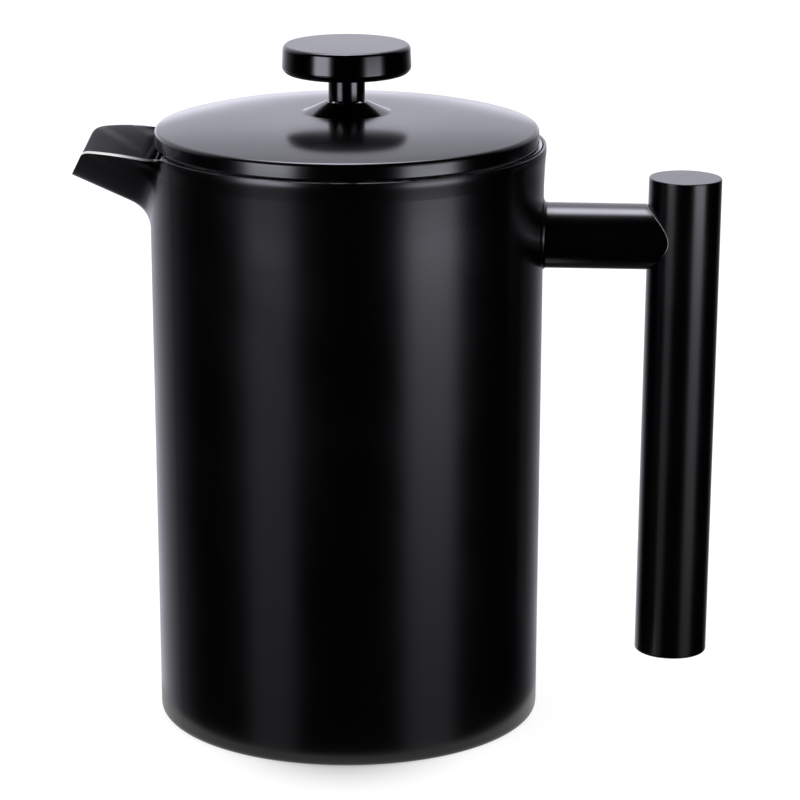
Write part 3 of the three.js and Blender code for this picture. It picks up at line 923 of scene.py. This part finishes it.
def softbox(name, azimuth, spread_angle, levels):
    """A tall glowing card that faces the pot. Azimuth 0 is towards the camera, positive to its right.
    Its brightness follows levels (height above the floor, strength) and fades out to both sides."""
    a = math.radians(azimuth)
    tall = SOFTBOX_HIGH - SOFTBOX_LOW
    middle_z = (SOFTBOX_LOW + SOFTBOX_HIGH) / 2
    bpy.ops.mesh.primitive_plane_add(size=1)
    card = bpy.context.object
    card.scale = (2 * SOFTBOX_DISTANCE * math.tan(math.radians(spread_angle)), tall, 1)
    card.location = (SOFTBOX_DISTANCE * math.sin(a), -SOFTBOX_DISTANCE * math.cos(a), middle_z)
    card.rotation_euler = (math.radians(90), 0, a)
    nodes, links, glow = glow_card(card, name)
    split = nodes.new("ShaderNodeSeparateXYZ")
    links.new(nodes.new("ShaderNodeTexCoord").outputs["Generated"], split.inputs["Vector"])
    brightest = max(strength for _, strength in levels)
    stops = [((z - SOFTBOX_LOW) / tall, strength / brightest) for z, strength in levels]
    links.new(light_ramp(nodes, links, split.outputs["Y"], stops), glow.inputs["Color"])
    across = light_ramp(nodes, links, split.outputs["X"], SOFTBOX_ACROSS)
    links.new(calculate(nodes, links, "MULTIPLY", across, brightest), glow.inputs["Strength"])


def floor():
    """A pale table that glows a little, less so in a soft shadow painted in front of the foot."""
    bpy.ops.mesh.primitive_plane_add(size=12)
    obj = bpy.context.object
    obj.name = "floor"
    material, nodes, links, shader = node_material("pale_floor")
    shader.inputs["Base Color"].default_value = (0.3, 0.3, 0.3, 1)
    shader.inputs["Roughness"].default_value = 1.0
    shader.inputs["Specular IOR Level"].default_value = 0.0
    shader.inputs["Emission Color"].default_value = (1, 1, 1, 1)
    # Painted shadow: the glow is turned down in a soft patch in front of the foot, not a cast shadow.
    squashed = nodes.new("ShaderNodeMapping")
    links.new(nodes.new("ShaderNodeTexCoord").outputs["Object"], squashed.inputs["Vector"])
    squashed.inputs["Location"].default_value = (0, SHADE_FORWARD, 0)
    squashed.inputs["Scale"].default_value = (SHADE_SQUASH, 1, 1)
    away = nodes.new("ShaderNodeVectorMath")
    away.operation = "LENGTH"
    links.new(squashed.outputs["Vector"], away.inputs[0])
    near = spread(nodes, links, away.outputs["Value"], 1, 0, SHADE_NEAR, SHADE_FAR)
    painted_shadow = calculate(nodes, links, "POWER", near, 2.0)
    glow = spread(nodes, links, painted_shadow, TABLE_BRIGHT, TABLE_SHADE)
    links.new(glow, shader.inputs["Emission Strength"])
    obj.data.materials.append(material)
    obj.visible_glossy = False
    obj.visible_shadow = False


def table_glow():
    """The pale table close round the foot, as the foot's rounded edge mirrors it."""
    bpy.ops.mesh.primitive_circle_add(
        vertices=64, radius=CARD_R, fill_type="NGON", location=(0, 0, -CARD_DROP))
    card = bpy.context.object
    glow = glow_card(card, "table_glow")[2]
    glow.inputs["Strength"].default_value = CARD_BRIGHT
    card.visible_shadow = False


def facing_backdrop(nodes, links, direction):
    """1 for a direction straight at the backdrop's middle, falling to 0 square to it and in front."""
    flat = nodes.new("ShaderNodeVectorMath")
    flat.operation = "MULTIPLY"
    flat.inputs[1].default_value = (1, 1, 0)
    links.new(direction, flat.inputs[0])
    compass = nodes.new("ShaderNodeVectorMath")
    compass.operation = "NORMALIZE"
    links.new(flat.outputs["Vector"], compass.inputs[0])
    back = nodes.new("ShaderNodeVectorMath")
    back.operation = "DOT_PRODUCT"
    turn = math.radians(BACKDROP_TURN)
    back.inputs[1].default_value = (-math.sin(turn), math.cos(turn), 0)
    links.new(compass.outputs["Vector"], back.inputs[0])
    return spread(nodes, links, back.outputs["Value"], 0, 1)


def world():
    """A pale studio: plain white to look at and as soft light. Mirrored, it is bright behind the object and
    above its back, with a white table falling off below, and dark in front."""
    studio = bpy.data.worlds.new("studio")
    bpy.context.scene.world = studio
    studio.use_nodes = True
    nodes, links = studio.node_tree.nodes, studio.node_tree.links
    nodes.clear()
    direction = nodes.new("ShaderNodeTexCoord").outputs["Generated"]
    split = nodes.new("ShaderNodeSeparateXYZ")
    links.new(direction, split.inputs["Vector"])
    height = split.outputs["Z"]
    brightest = max(level for _, level in BACKDROP_LEVELS)
    stops = [((z + 1) / 2, level / brightest) for z, level in BACKDROP_LEVELS]
    colour = light_ramp(nodes, links, spread(nodes, links, height, 0, 1, -1, 1), stops)
    fade = spread(nodes, links, height, FADE_LOW, FADE_HIGH, -0.1, 0.15)
    behind = calculate(nodes, links, "POWER", facing_backdrop(nodes, links, direction), fade)
    mirrored = nodes.new("ShaderNodeBackground")
    links.new(colour, mirrored.inputs["Color"])
    links.new(calculate(nodes, links, "MULTIPLY", behind, brightest), mirrored.inputs["Strength"])
    plain = nodes.new("ShaderNodeBackground")
    plain.inputs["Color"].default_value = (1, 1, 1, 1)
    ray = nodes.new("ShaderNodeLightPath")
    mix = nodes.new("ShaderNodeMixShader")
    links.new(ray.outputs["Is Glossy Ray"], mix.inputs["Fac"])
    links.new(plain.outputs["Background"], mix.inputs[1])
    links.new(mirrored.outputs["Background"], mix.inputs[2])
    output = nodes.new("ShaderNodeOutputWorld")
    links.new(mix.outputs["Shader"], output.inputs["Surface"])
    studio.cycles.sampling_method = "NONE"


def camera():
    data = bpy.data.cameras.new("camera")
    data.sensor_width = 36
    data.lens = 169.1
    obj = link_object("camera", data)
    obj.location = (0.0307, -1.0088, 0.3603)
    obj.rotation_euler = (math.radians(74.94), 0, math.radians(0.92))
    bpy.context.scene.camera = obj


floor()
table_glow()
world()
softbox("left_softbox", -43, 23, LEFT_LEVELS)
softbox("right_softbox", 50, 25, RIGHT_LEVELS)
camera()
bpy.context.scene.view_settings.view_transform = "Standard"
